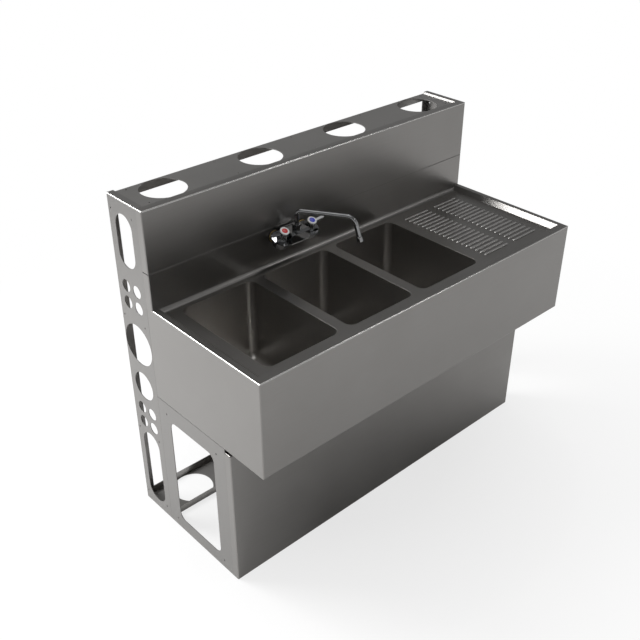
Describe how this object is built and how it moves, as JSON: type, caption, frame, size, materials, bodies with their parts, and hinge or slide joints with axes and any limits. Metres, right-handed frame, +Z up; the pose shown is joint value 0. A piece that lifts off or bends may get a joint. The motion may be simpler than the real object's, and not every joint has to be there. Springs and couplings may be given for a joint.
{
  "type": "underbar sink unit with hollow wall",
  "caption": "Steel underbar sink unit: deep round-cornered bowls, ribbed drainboard, wall-mounted swivel faucet and a hollow service wall with round holes, on a base with an open back.",
  "frame": {"origin": "middle of the footprint, on the floor", "axes": "+X to the right along the front as a user faces it, +Y to the back of the wall, +Z up"},
  "size_m": [1.2192, 0.598, 1.032],
  "materials": {
    "frame_steel": "mill finish sheet",
    "sink_steel": "satin",
    "bowl_steel": "satin, drawn",
    "bolt_steel": "plain",
    "chrome": "polished",
    "brass": "turned",
    "rubber": "matt",
    "index_white": "gloss",
    "hot_red": "gloss",
    "cold_blue": "gloss"
  },
  "bodies": {
    "unit": {"left_end_plate": "frame_steel", "right_end_plate": "frame_steel", "top_channel": "frame_steel", "bottom_channel": "frame_steel", "upper_splash_panel": "sink_steel", "seam_rail": "frame_steel", "sink_top": "sink_steel", "front_apron": "sink_steel", "left_apron": "sink_steel", "right_apron": "sink_steel", "left_bowl": "bowl_steel", "middle_bowl": "bowl_steel", "right_bowl": "bowl_steel", "left_drainboard_stiffener": "frame_steel", "right_drainboard_stiffener": "frame_steel", "left_drain_body": "chrome", "middle_drain_body": "chrome", "right_drain_body": "chrome", "left_drain_gasket": "rubber", "middle_drain_gasket": "rubber", "right_drain_gasket": "rubber", "left_drain_locknut": "brass", "middle_drain_locknut": "brass", "right_drain_locknut": "brass", "left_coupling_nut": "brass", "middle_coupling_nut": "brass", "right_coupling_nut": "brass", "left_tailpiece": "chrome", "middle_tailpiece": "chrome", "right_tailpiece": "chrome", "left_base_side": "frame_steel", "right_base_side": "frame_steel", "kick_panel": "sink_steel", "frame_bolts": "bolt_steel", "frame_nuts": "bolt_steel", "faucet_body": "chrome", "hot_shank": "brass", "cold_shank": "brass", "hot_shank_gasket": "rubber", "cold_shank_gasket": "rubber", "shank_locknuts": "brass", "hot_bonnet": "chrome", "cold_bonnet": "chrome", "spout_nut": "chrome", "spout_seal": "rubber"},
    "hot_handle": {"hot_stem": "brass", "hot_lever": "chrome", "hot_handle_screw": "bolt_steel", "hot_index_ring": "index_white", "hot_index_button": "hot_red"},
    "cold_handle": {"cold_stem": "brass", "cold_lever": "chrome", "cold_handle_screw": "bolt_steel", "cold_index_ring": "index_white", "cold_index_button": "cold_blue"},
    "spout": {"spout_tube": "chrome", "spout_collar": "chrome", "aerator": "chrome"}
  },
  "joints": [
    {"name": "hot_lever_turn", "type": "hinge", "parent": "unit", "child": "hot_handle", "pos_m": [-0.1979, 0.105, 0.829], "axis": [0, -0.4226, 0.9063], "range_deg": [0, 90]},
    {"name": "cold_lever_turn", "type": "hinge", "parent": "unit", "child": "cold_handle", "pos_m": [-0.0963, 0.105, 0.829], "axis": [0, -0.4226, 0.9063], "range_deg": [-90, 0]},
    {"name": "spout_swing", "type": "hinge", "parent": "unit", "child": "spout", "pos_m": [-0.1471, 0.097, 0.829], "axis": [0, 0, 1], "range_deg": [-122.5, 57.5]}
  ]
}
